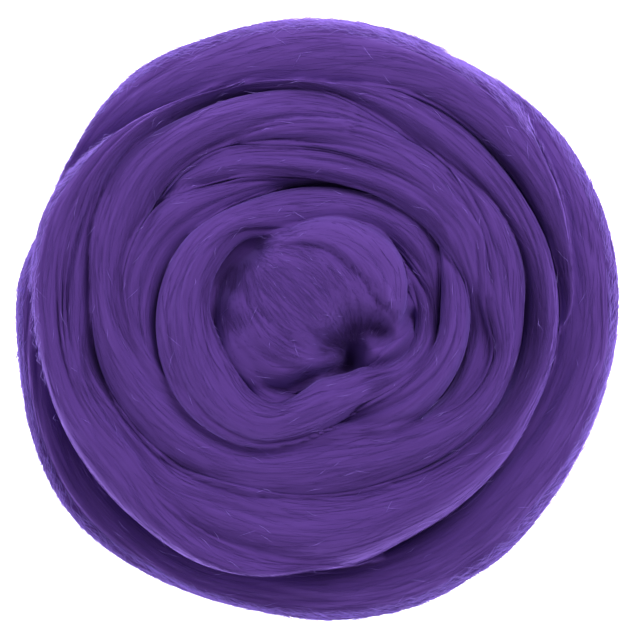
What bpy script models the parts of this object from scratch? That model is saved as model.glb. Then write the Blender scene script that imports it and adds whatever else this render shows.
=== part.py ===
"""A ball of wool roving: one thick, soft strand of combed wool, wound by hand into a low round bun.

The ball lies on its flattened underside at z = 0. +Z is up, and the tables below give each turn of the
strand as it shows from straight above: angles run counter-clockwise from +X, and lengths are in mm.
"""

import math

import bmesh
import bpy
import numpy as np
from mathutils import Vector

MM = 0.001
BALL_NAME = "wound_roving"

STRAND_DEPTH = 18.0  # the strand's usual thickness, from its crest down
THIN_DEPTH = 14.0  # where it is squeezed between two other turns
LEVEL_RADIUS = 50.0  # turns nearer the middle than this lie level
RIM_RADIUS = 90.0
RIM_LEAN = 30.0  # degrees by which a turn at the rim leans outwards
TAPER = 9.0  # degrees over which a turn's end sinks in among the others

STATION_STEP = 2.5  # degrees between two sections of a turn
SECTION_SIDES = 24

# The last turn wound, low round the outside, from under the crest turn to its dive over the side.
LOW_TURN = [
    # angle, inner edge, outer edge, crest height
    (132, 70.0, 85.0, 34), (145, 71.0, 87.0, 38), (157, 72.0, 87.5, 42), (170, 75.0, 91.5, 45),
    (185, 75.0, 91.0, 46), (200, 76.0, 93.0, 46), (218, 77.0, 95.0, 45), (240, 76.0, 91.5, 44),
    (257, 75.0, 90.5, 45), (272, 73.0, 91.0, 48), (290, 71.0, 92.0, 52), (305, 70.0, 91.0, 55),
    (322, 69.5, 89.0, 57),
    (342, 71.5, 89.0, 60), (360, 73.0, 91.0, 61), (378, 76.0, 92.0, 60), (395, 80.0, 92.0, 57),
    (410, 82.0, 91.0, 53), (422, 82.0, 89.0, 47),
]

# The turn that rises over the upper right of the rim and dives at the upper left.
RIM_TURN = [
    (5, 72.5, 76.0, 58), (15, 73.5, 77.5, 61), (25, 73.5, 81.0, 62), (35, 73.0, 84.5, 63),
    (48, 73.5, 88.5, 64), (62, 75.0, 89.0, 65), (80, 72.0, 89.5, 65), (95, 71.5, 90.5, 65),
    (112, 73.0, 91.0, 62), (125, 78.0, 93.0, 58), (137, 81.0, 92.0, 53), (147, 82.5, 90.0, 47),
    (155, 82.0, 88.0, 41),
]

# A short strand along the crest of the left side.
CREST_TURN = [
    (135, 78.5, 82.0, 59), (146, 80.0, 85.0, 66), (156, 80.0, 86.5, 67), (168, 78.0, 85.0, 67),
    (186, 75.5, 84.0, 67), (203, 72.5, 84.0, 67), (216, 69.5, 83.5, 67), (230, 72.0, 82.0, 67),
    (247, 74.0, 81.5, 67), (260, 74.5, 79.5, 65), (272, 74.0, 76.0, 58),
]

# The broad turn just inside the rim, nearly once round.
BROAD_TURN = [
    (112, 70.5, 73.0, 59), (122, 72.0, 77.0, 63), (133, 74.0, 81.0, 66), (146, 74.0, 82.0, 66),
    (160, 70.5, 81.0, 65), (175, 68.0, 78.5, 65), (192, 67.0, 76.5, 65), (210, 64.5, 74.5, 65),
    (228, 61.5, 74.5, 66), (244, 57.0, 75.5, 66), (260, 54.5, 76.0, 66), (276, 53.5, 75.0, 66),
    (292, 54.0, 71.5, 66), (308, 56.5, 70.5, 66), (328, 59.5, 71.0, 66), (350, 61.5, 72.5, 67),
    (375, 63.5, 74.0, 67), (395, 62.5, 73.5, 67), (414, 59.5, 74.5, 68), (428, 61.0, 74.5, 67),
    (444, 65.0, 71.5, 66), (457, 69.0, 71.0, 59),
]

# The turn inside that one, which swings in towards the middle at the lower left.
SWINGING_TURN = [
    (55, 56.0, 60.0, 60), (70, 57.5, 62.5, 65), (88, 59.0, 67.5, 68), (108, 59.5, 70.0, 69),
    (126, 61.0, 74.0, 69), (140, 62.0, 76.0, 69), (155, 61.0, 74.0, 69), (170, 60.0, 69.5, 69),
    (190, 56.0, 67.5, 69), (208, 51.0, 65.0, 69), (225, 47.5, 62.0, 69), (243, 44.5, 57.5, 69),
    (262, 40.0, 54.5, 69), (280, 38.0, 53.5, 69), (298, 40.0, 54.5, 69), (314, 45.0, 58.0, 69),
    (330, 51.5, 60.0, 69), (348, 55.0, 61.5, 69), (366, 52.0, 63.5, 69), (380, 54.0, 64.0, 69),
    (392, 57.5, 63.5, 67), (402, 58.0, 61.5, 60),
]

# A strand that comes up at the lower right, dips at the right and runs on over the top.
DIPPING_TURN = [
    (308, 41.0, 44.0, 60), (318, 42.5, 47.0, 66), (330, 44.0, 52.0, 69), (344, 45.5, 55.5, 68),
    (356, 49.0, 56.5, 62), (364, 47.5, 54.5, 66), (375, 46.5, 53.5, 69), (388, 47.5, 56.5, 70),
    (400, 48.0, 56.5, 69), (415, 47.0, 54.5, 69), (435, 44.0, 52.5, 69), (452, 45.0, 53.0, 69),
    (466, 47.0, 56.0, 69), (482, 50.5, 60.5, 68), (494, 54.0, 61.0, 62),
]

# A slim strand squeezed in outside it at the upper right.
SLIM_TURN = [
    (395, 52.5, 58.0, 60), (406, 53.0, 60.0, 67), (430, 52.5, 59.5, 68), (450, 53.5, 59.0, 67),
    (465, 55.0, 60.0, 66), (476, 57.0, 60.0, 60),
]

# The strand between the two deep pockets of the upper left.
POCKET_TURN = [
    (100, 41.0, 44.5, 57), (112, 41.5, 48.0, 63), (128, 43.5, 52.0, 68), (140, 45.5, 58.5, 69),
    (152, 49.0, 61.0, 69), (166, 51.5, 61.0, 69), (180, 51.5, 58.5, 69), (196, 49.5, 55.0, 67),
    (208, 48.5, 51.5, 59),
]

# The strand that humps up below the middle and sinks again at the right.
HUMPED_TURN = [
    (262, 33.5, 38.5, 58), (275, 31.5, 38.0, 61), (290, 30.5, 39.0, 66), (305, 30.5, 41.5, 69),
    (320, 32.0, 43.5, 71), (335, 34.0, 44.5, 72), (352, 36.5, 45.5, 72), (368, 37.5, 46.0, 70),
    (382, 40.0, 46.0, 66), (394, 43.0, 46.0, 58),
]

# The ring of the first outer turn round the wound middle, from the right all the way round.
RING_TURN = [
    (8, 36.5, 41.0, 56), (24, 35.5, 42.0, 61), (42, 35.0, 42.0, 63), (60, 33.0, 40.0, 64),
    (78, 30.5, 39.0, 67), (98, 28.5, 40.5, 70), (115, 29.0, 41.0, 72), (132, 32.5, 43.0, 75),
    (148, 33.0, 45.5, 76), (170, 32.5, 47.0, 76), (192, 30.0, 48.0, 76), (212, 29.5, 47.0, 75),
    (232, 31.0, 44.0, 75), (246, 29.0, 41.0, 75), (256, 24.0, 38.0, 75), (268, 19.0, 34.5, 75),
    (284, 17.5, 30.5, 75), (300, 17.5, 29.5, 75), (314, 21.0, 31.5, 73), (328, 26.0, 33.5, 72),
    (345, 29.5, 36.5, 71), (372, 30.5, 36.5, 68), (395, 29.5, 35.5, 64), (412, 28.5, 33.5, 62),
    (425, 27.0, 32.0, 57),
]

# The crescent that caps the upper side of the middle.
CAP_TURN = [
    (-8, 24.0, 25.5, 67), (5, 23.5, 27.0, 72), (20, 22.5, 29.0, 76), (40, 23.0, 31.5, 79),
    (62, 23.0, 31.5, 79), (80, 23.5, 31.0, 77), (98, 24.5, 29.0, 74), (112, 25.0, 28.0, 68),
]

# A low strand that shows between the ring and the middle, at the left.
INNER_TURN = [
    (160, 27.0, 30.5, 62), (175, 26.5, 30.5, 66), (192, 25.0, 31.0, 68), (212, 24.5, 31.0, 70),
    (232, 26.0, 31.5, 70), (246, 25.0, 31.0, 69), (258, 22.0, 26.0, 60),
]

UPPER_TURNS = {
    "low": (LOW_TURN, STRAND_DEPTH),
    "rim": (RIM_TURN, STRAND_DEPTH),
    "crest": (CREST_TURN, STRAND_DEPTH),
    "broad": (BROAD_TURN, STRAND_DEPTH),
    "swinging": (SWINGING_TURN, STRAND_DEPTH),
    "dipping": (DIPPING_TURN, STRAND_DEPTH),
    "slim": (SLIM_TURN, THIN_DEPTH),
    "pocket": (POCKET_TURN, STRAND_DEPTH),
    "humped": (HUMPED_TURN, STRAND_DEPTH),
    "ring": (RING_TURN, STRAND_DEPTH),
    "cap": (CAP_TURN, THIN_DEPTH),
    "inner": (INNER_TURN, THIN_DEPTH),
}

# The hidden turns: down the side in two rounds, then inwards across the underside to the middle.
UNDER_TURN = [
    # angle, radius of the strand's middle, its height
    (60, 80.0, 44.0), (100, 81.0, 39.0), (140, 79.0, 32.0), (157, 78.0, 29.0), (185, 80.0, 25.5),
    (215, 83.0, 24.0), (250, 80.0, 24.0), (290, 81.0, 28.0), (330, 79.5, 32.0), (360, 80.5, 34.0),
    (395, 82.0, 31.0), (430, 79.5, 24.5), (470, 78.5, 19.5), (517, 75.5, 14.0), (575, 76.5, 9.5),
    (640, 75.0, 10.0), (700, 75.0, 13.5), (745, 74.5, 15.0), (800, 70.0, 10.5), (860, 65.0, 8.0),
    (960, 60.5, 7.5), (1080, 55.0, 7.5), (1260, 47.5, 7.5), (1440, 40.0, 7.5), (1620, 32.5, 7.5),
    (1800, 25.0, 7.5), (1980, 17.5, 7.5), (2160, 10.0, 7.5), (2250, 8.0, 7.5),
]
UNDER_HALF_WIDTH = 9.0
UNDER_HALF_DEPTH = 8.7

# The wound middle: the strand's first bends, each a row of points that its crest passes over.
MIDDLE_BENDS = {
    "over_top": [(-21, 17), (-13, 25), (1, 26), (12, 21), (18, 10), (16.5, 0.5)],
    "upper": [(-22, 14), (-10, 17), (2, 13), (10, 4), (10.5, -3.5)],
    "centre": [(-23, 8.5), (-13, 7), (-2, 1), (5, -6.5)],
    "left": [(-27, 10), (-25.5, -2), (-18, -10), (-5, -13), (7, -10)],
    "lowest": [(-30, 5.5), (-28.5, -8), (-20, -18.5), (-8, -20)],
}
MIDDLE_CREST = 78.0
MIDDLE_CROWN_RADIUS = 40.0  # the middle's top is round, and this is the radius of that rounding
BEND_HALF_WIDTH = 5.4
BEND_HALF_DEPTH = 6.5

# A small curl tucked against the middle at its lower right.
CURL_PATH = [(12, -13), (19, -13), (25, -9.5), (27, -5)]
CURL_CREST = 70.0
CURL_HALF_WIDTH = 4.5
CURL_HALF_DEPTH = 5.0

# What fills the ball behind the turns that show.
CORE_RADIUS = 78.0
CORE_HALF_HEIGHT = 31.0
CORE_MIDDLE = 37.0
HEART_RADIUS = 25.0
HEART_HALF_HEIGHT = 15.0
HEART_MIDDLE = 59.5
BUTTON_RADIUS = 13.0  # the strand's first loop, under the middle, which the ball rests on too
BUTTON_HALF_HEIGHT = 9.0
BUTTON_MIDDLE = 7.5

# The skin that is drawn tight over the turns, and how finely.
SKIN_RADIUS = 102.0
SKIN_HALF_HEIGHT = 50.0
SKIN_MIDDLE = 40.0
SKIN_SQUARENESS = 4.0
SKIN_SEGMENTS = 300
SKIN_RINGS = 180
SMOOTHING_PASSES = 4
PRESSED_DEPTH = 0.3  # what comes this near to the surface lies flat on it
MOST_TRIANGLES = 10000

ROVING_COLOUR = (0.102, 0.05, 0.25, 1.0)
ROVING_ROUGHNESS = 0.95


def rounded(rows, stations):
    """Each column of a table read at the stations, along a cubic curve that passes through its rows."""
    table = np.array(rows, float)
    places = table[:, 0]
    slopes = np.gradient(table[:, 1:], places, axis=0)
    row = np.clip(np.searchsorted(places, stations) - 1, 0, len(places) - 2)
    gap = (places[row + 1] - places[row])[:, None]
    t = (stations - places[row])[:, None] / gap
    start = table[row, 1:]
    end = table[row + 1, 1:]
    return (
        start * (1 + 2 * t) * (1 - t) ** 2
        + end * t**2 * (3 - 2 * t)
        + slopes[row] * gap * t * (1 - t) ** 2
        - slopes[row + 1] * gap * t**2 * (1 - t)
    )


def along(rows, step=STATION_STEP):
    """Stations from a table's first angle to its last."""
    first, last = rows[0][0], rows[-1][0]
    return np.linspace(first, last, max(8, round((last - first) / step)))


def tapered(stations, length):
    """1 along a strand, falling to almost nothing at its two ends."""
    from_end = np.minimum(stations - stations[0], stations[-1] - stations)
    return np.sqrt(np.clip(from_end / length, 0.02, 1.0))


def tube(name, middles, sides, ups, half_widths, half_depths):
    """A closed tube whose sections are ellipses across the two given directions."""
    angles = np.linspace(0, 2 * math.pi, SECTION_SIDES, endpoint=False)
    shape = bmesh.new()
    loops = []
    for middle, side, up, wide, deep in zip(middles, sides, ups, half_widths, half_depths):
        across = side * wide * np.cos(angles)[:, None]
        upwards = up * deep * np.sin(angles)[:, None]
        points = (middle + across + upwards) * MM
        loops.append([shape.verts.new(point) for point in points])
    for near, far in zip(loops, loops[1:]):
        for i in range(SECTION_SIDES):
            j = (i + 1) % SECTION_SIDES
            shape.faces.new((near[i], near[j], far[j], far[i]))
    shape.faces.new(loops[0])
    shape.faces.new(loops[-1])
    bmesh.ops.recalc_face_normals(shape, faces=shape.faces)
    return guide(name, shape)


def guide(name, shape):
    """A helper object that is left out of the finished part."""
    mesh = bpy.data.meshes.new(name)
    shape.to_mesh(mesh)
    shape.free()
    helper = bpy.data.objects.new(name, mesh)
    helper.hide_render = True
    helper.display_type = "WIRE"
    bpy.data.collections["guides"].objects.link(helper)
    return helper


def round_frame(angles, lean):
    """The directions across and up through a turn's section, at each angle round the ball."""
    turn = np.radians(angles)
    outward = np.stack([np.cos(turn), np.sin(turn), np.zeros_like(turn)], axis=1)
    upward = np.array([0.0, 0.0, 1.0])
    lean = np.radians(lean)[:, None]
    sides = outward * np.cos(lean) - upward * np.sin(lean)
    ups = outward * np.sin(lean) + upward * np.cos(lean)
    return outward, sides, ups


def upper_turn(name, rows, depth):
    """A turn that shows from above, from its two edges and its crest.

    The section leans outwards near the rim. Its width is what makes it reach both edges when it leans.
    """
    angles = along(rows)
    inner, outer, crest = rounded(rows, angles).T
    radius = (inner + outer) / 2
    lean = RIM_LEAN * np.clip((radius - LEVEL_RADIUS) / (RIM_RADIUS - LEVEL_RADIUS), 0, 1)
    outward, sides, ups = round_frame(angles, lean)
    sine, cosine = np.sin(np.radians(lean)), np.cos(np.radians(lean))
    fade = tapered(angles, TAPER)
    half_depth = depth / 2 * fade
    reach = (outer - inner) / 2
    half_width = np.sqrt(np.maximum(reach**2 - (half_depth * sine) ** 2, (reach / 2) ** 2)) / cosine
    rise = np.sqrt((half_width * sine) ** 2 + (half_depth * cosine) ** 2)
    middles = outward * radius[:, None]
    middles[:, 2] = crest - rise
    return tube(name, middles, sides, ups, half_width, half_depth)


def under_turn():
    angles = along(UNDER_TURN, step=4.0)
    radius, height = rounded(UNDER_TURN, angles).T
    outward, sides, ups = round_frame(angles, np.zeros_like(angles))
    middles = outward * radius[:, None]
    middles[:, 2] = height
    size = np.ones_like(angles)
    return tube("under", middles, sides, ups, size * UNDER_HALF_WIDTH, size * UNDER_HALF_DEPTH)


def bend(name, path, crests, half_width, half_depth):
    """A short strand over the points of a path, level across and with its crest at the given heights."""
    places = np.linspace(0, 1, len(path))
    stations = np.linspace(0, 1, 8 * len(path))
    rows = [(place, *point) for place, point in zip(places, path)]
    route = rounded(rows, stations)
    heights = crests(route)
    runs = np.gradient(np.column_stack([route, heights]), axis=0)
    runs /= np.linalg.norm(runs, axis=1)[:, None]
    sides = np.stack([runs[:, 1], -runs[:, 0], np.zeros(len(runs))], axis=1)
    sides /= np.linalg.norm(sides, axis=1)[:, None]
    ups = np.cross(sides, runs)
    middles = np.column_stack([route, heights - half_depth])
    fade = tapered(stations, 0.12)
    return tube(name, middles, sides, ups, half_width * fade, half_depth * fade)


def middle_crests(route):
    """The heights of the wound middle's round top."""
    return MIDDLE_CREST - (route**2).sum(axis=1) / (2 * MIDDLE_CROWN_RADIUS)


def curl_crests(route):
    return np.full(len(route), CURL_CREST)


def ellipsoid(name, radius, half_height, middle):
    shape = bmesh.new()
    bmesh.ops.create_uvsphere(shape, u_segments=64, v_segments=32, radius=1.0)
    bmesh.ops.scale(shape, vec=Vector((radius, radius, half_height)) * MM, verts=shape.verts)
    bmesh.ops.translate(shape, vec=Vector((0, 0, middle * MM)), verts=shape.verts)
    return guide(name, shape)


def joined(name, helpers):
    """One guide that holds all the faces of the others."""
    shape = bmesh.new()
    for helper in helpers:
        shape.from_mesh(helper.data)
        bpy.data.objects.remove(helper)
    return guide(name, shape)


def wound_turns():
    turns = [upper_turn(name, *turn) for name, turn in UPPER_TURNS.items()]
    turns.append(under_turn())
    for name, path in MIDDLE_BENDS.items():
        turns.append(bend(name, path, middle_crests, BEND_HALF_WIDTH, BEND_HALF_DEPTH))
    turns.append(bend("curl", CURL_PATH, curl_crests, CURL_HALF_WIDTH, CURL_HALF_DEPTH))
    turns.append(ellipsoid("core", CORE_RADIUS, CORE_HALF_HEIGHT, CORE_MIDDLE))
    turns.append(ellipsoid("heart", HEART_RADIUS, HEART_HALF_HEIGHT, HEART_MIDDLE))
    turns.append(ellipsoid("button", BUTTON_RADIUS, BUTTON_HALF_HEIGHT, BUTTON_MIDDLE))
    return joined("turns", turns)


def skin():
    """A round-cornered drum just outside the ball, whose points lie close enough to take its relief."""
    shape = bmesh.new()
    bmesh.ops.create_uvsphere(
        shape, u_segments=SKIN_SEGMENTS, v_segments=SKIN_RINGS, radius=1.0
    )
    for vert in shape.verts:
        across = math.hypot(vert.co.x, vert.co.y) / SKIN_RADIUS
        upward = abs(vert.co.z) / SKIN_HALF_HEIGHT
        size = (across**SKIN_SQUARENESS + upward**SKIN_SQUARENESS) ** (-1 / SKIN_SQUARENESS)
        vert.co = vert.co * size * MM
        vert.co.z += SKIN_MIDDLE * MM
    return guide("skin", shape)


def drawn_tight(drum, turns):
    """The drum's mesh after it has been shrunk onto the turns."""
    shrink = drum.modifiers.new("shrink", "SHRINKWRAP")
    shrink.wrap_method = "PROJECT"
    shrink.use_negative_direction = True
    shrink.use_positive_direction = False
    shrink.target = turns
    smooth = drum.modifiers.new("smooth", "SMOOTH")
    smooth.factor = 0.5
    smooth.iterations = SMOOTHING_PASSES
    return evaluated_mesh(drum)


def evaluated_mesh(source):
    bpy.context.view_layer.update()
    graph = bpy.context.evaluated_depsgraph_get()
    return bpy.data.meshes.new_from_object(source.evaluated_get(graph))


def pressed_flat(mesh):
    """The underside flattened where the ball's weight rests on it."""
    shape = bmesh.new()
    shape.from_mesh(mesh)
    for vert in shape.verts:
        if vert.co.z < PRESSED_DEPTH * MM:
            vert.co.z = 0.0
    shape.to_mesh(mesh)
    shape.free()
    return mesh


def thinned(mesh):
    """The same surface with no more triangles than its turns need."""
    dense = bpy.data.objects.new("dense", mesh)
    dense.hide_render = True
    bpy.data.collections["guides"].objects.link(dense)
    triangles = sum(len(face.vertices) - 2 for face in mesh.polygons)
    decimate = dense.modifiers.new("decimate", "DECIMATE")
    decimate.ratio = MOST_TRIANGLES / triangles
    thin = evaluated_mesh(dense)
    bpy.data.objects.remove(dense)
    return thin


def roving_material():
    material = bpy.data.materials.new("purple wool")
    material.use_nodes = True
    shader = material.node_tree.nodes["Principled BSDF"]
    shader.inputs["Base Color"].default_value = ROVING_COLOUR
    shader.inputs["Roughness"].default_value = ROVING_ROUGHNESS
    shader.inputs["Metallic"].default_value = 0.0
    return material


def cleared_scene():
    for old in list(bpy.data.objects):
        bpy.data.objects.remove(old)
    for name in ("guides", "wool roving"):
        collection = bpy.data.collections.new(name)
        bpy.context.scene.collection.children.link(collection)


def main():
    cleared_scene()
    mesh = pressed_flat(drawn_tight(skin(), wound_turns()))
    mesh = pressed_flat(thinned(mesh))
    mesh.name = BALL_NAME
    mesh.shade_smooth()
    mesh.materials.append(roving_material())
    ball = bpy.data.objects.new(BALL_NAME, mesh)
    bpy.data.collections["wool roving"].objects.link(ball)


main()
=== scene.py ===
import math

import bpy
import numpy as np
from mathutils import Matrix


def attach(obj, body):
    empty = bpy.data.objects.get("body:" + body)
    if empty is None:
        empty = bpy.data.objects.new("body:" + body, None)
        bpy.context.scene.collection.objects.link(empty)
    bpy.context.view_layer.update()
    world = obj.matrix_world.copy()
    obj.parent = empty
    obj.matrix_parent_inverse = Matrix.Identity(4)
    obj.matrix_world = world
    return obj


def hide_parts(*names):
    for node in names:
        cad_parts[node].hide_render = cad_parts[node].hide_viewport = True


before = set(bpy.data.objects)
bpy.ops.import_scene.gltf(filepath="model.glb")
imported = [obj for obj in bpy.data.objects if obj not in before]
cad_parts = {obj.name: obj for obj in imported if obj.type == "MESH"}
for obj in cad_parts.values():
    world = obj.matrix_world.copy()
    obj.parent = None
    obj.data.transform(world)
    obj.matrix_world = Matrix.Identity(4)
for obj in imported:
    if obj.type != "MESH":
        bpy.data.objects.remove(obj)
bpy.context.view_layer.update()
print("frame loaded")

mm = 0.001
nothing = -100.0  # the height, in mm, where there is no wool
ballNode = "wound_roving"
seed = 4252
rng = np.random.default_rng(seed)


# Curves and noise that every stretch of the strand uses.
def readRows(rows, stations):
    # Hermite's cubic between each two rows, with the slopes that the rows on either side give.
    table = np.array(rows, float)
    places = table[:, 0]
    slopes = np.gradient(table[:, 1:], places, axis=0)
    row = np.clip(np.searchsorted(places, stations) - 1, 0, len(places) - 2)
    gap = (places[row + 1] - places[row])[:, None]
    t = (stations - places[row])[:, None] / gap
    return (
        table[row, 1:] * (1 + 2 * t) * (1 - t) ** 2
        + table[row + 1, 1:] * t**2 * (3 - 2 * t)
        + slopes[row] * gap * t * (1 - t) ** 2
        - slopes[row + 1] * gap * t**2 * (1 - t)
    )


def smoothStep(t):
    # 3 t squared - 2 t cubed, which is level at 0 and at 1.
    return t * t * (3 - 2 * t)


def latticeNoise(lattice, along, around):
    # Random numbers on a lattice, blended between the four nearest by smooth weights; around wraps.
    i = np.clip(np.floor(along).astype(int), 0, lattice.shape[0] - 2)
    u = smoothStep(np.clip(along - i, 0, 1))
    j = np.floor(around).astype(int)
    v = smoothStep(around - j)
    j0 = j % lattice.shape[1]
    j1 = (j + 1) % lattice.shape[1]
    near = lattice[i, j0] * (1 - v) + lattice[i, j1] * v
    far = lattice[i + 1, j0] * (1 - v) + lattice[i + 1, j1] * v
    return near * (1 - u) + far * u


def unit(vectors):
    # Each vector over its length.
    return vectors / np.maximum(np.linalg.norm(vectors, axis=-1, keepdims=True), 1e-9)


# A strand is a line with an elliptical section, and locks and fibres raised along it.
strandRelief = [
    # width and length of one lock or fibre in mm, how far it stands out, and whether it is parted by a crease
    {"width": 11.0, "length": 80.0, "height": 0.55, "creased": True},
    {"width": 4.5, "length": 50.0, "height": 0.26, "creased": True},
    {"width": 1.9, "length": 34.0, "height": 0.12, "creased": False},
    {"width": 0.9, "length": 22.0, "height": 0.05, "creased": False},
]
crease = {"level": 0.4, "depth": 2.0, "width": 0.3}  # of a layer's height, and of its noise
wander = {"length": 40.0, "share": 0.05}  # the locks swing by this share of the girth over this many mm
fullRelief = 6.0  # mm of half width or depth from which a strand has all its relief
leastRelief = 0.1  # of its relief where it is thinnest


def makeLattices(length, girth):
    # One lattice of random numbers for each layer of the relief, a cell for each lock or fibre.
    lattices = []
    for layer in strandRelief:
        around = max(3, round(girth / layer["width"]))
        along = math.ceil(length / layer["length"]) + 2
        lattices.append(rng.uniform(-1, 1, (along, around)))
    return lattices


def reliefHeight(lattices, along, share):
    # The layers' noises added up in mm. A creased layer is level - depth * exp(-(noise / width) squared),
    # flat but for a trough where its noise is near 0.
    relief = np.zeros(np.broadcast(along, share).shape)
    for layer, lattice in zip(strandRelief, lattices):
        noise = latticeNoise(lattice, along / layer["length"], share * lattice.shape[1])
        if layer["creased"]:
            noise = crease["level"] - crease["depth"] * np.exp(-((noise / crease["width"]) ** 2))
        relief = relief + noise * layer["height"]
    return relief


def makeStrand(name, middles, sides, ups, halfWidths, halfDepths, twist):
    # Places are lengths along the line, and girth is 2 * pi * sqrt((width squared + depth squared) / 2).
    steps = np.linalg.norm(np.diff(middles, axis=0), axis=1)
    places = np.concatenate([[0.0], np.cumsum(steps)])
    girth = 2 * math.pi * math.sqrt((np.mean(halfWidths) ** 2 + np.mean(halfDepths) ** 2) / 2)
    columns = [middles, sides, ups, halfWidths[:, None], halfDepths[:, None]]
    return {
        "name": name,
        "places": places,
        "length": places[-1],
        "girth": girth,
        "sections": np.concatenate(columns, axis=1),
        "lattices": makeLattices(places[-1], girth),
        "wander": rng.uniform(-1, 1, (math.ceil(places[-1] / wander["length"]) + 2, 1)),
        "twist": twist,
        "melded": False,
    }


def strandPoints(strand, along, angle, lift=0.0):
    # middle + side * width * cos(angle) + up * depth * sin(angle), then out along the ellipse's normal by
    # the relief and the lift. Nothing goes below the floor, where the strand is pressed flat.
    along, angle = np.broadcast_arrays(along, angle)
    row = np.interp(along, strand["places"], np.arange(len(strand["places"])))
    i = np.clip(np.floor(row).astype(int), 0, len(strand["places"]) - 2)
    t = (row - i)[..., None]
    section = strand["sections"][i] * (1 - t) + strand["sections"][i + 1] * t
    middle, side, up = section[..., 0:3], section[..., 3:6], section[..., 6:9]
    wide, deep = section[..., 9:10], section[..., 10:11]
    cosine, sine = np.cos(angle)[..., None], np.sin(angle)[..., None]
    outward = unit(side * cosine / wide + up * sine / deep)
    share = angle / (2 * math.pi) + strand["twist"] * along / strand["length"]
    swing = latticeNoise(strand["wander"], along / wander["length"], np.zeros_like(along))
    share = share + wander["share"] * swing
    relief = reliefHeight(strand["lattices"], along, share)
    relief = relief * np.clip(np.minimum(wide, deep)[..., 0] / fullRelief, leastRelief, 1.0)
    points = middle + side * wide * cosine + up * deep * sine + outward * relief[..., None]
    if "profile" in strand:
        own = np.interp(along, strand["places"], strand["angles"])
        points[..., 2] += melding(points, outward[..., 2], othersTop(points, strand, own))
    elif strand["melded"]:
        points[..., 2] += melding(points, outward[..., 2], othersTop(points))
    points = points + outward * np.asarray(lift)[..., None]
    points[..., 2] = np.maximum(points[..., 2], 0.0)
    return points, outward


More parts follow.
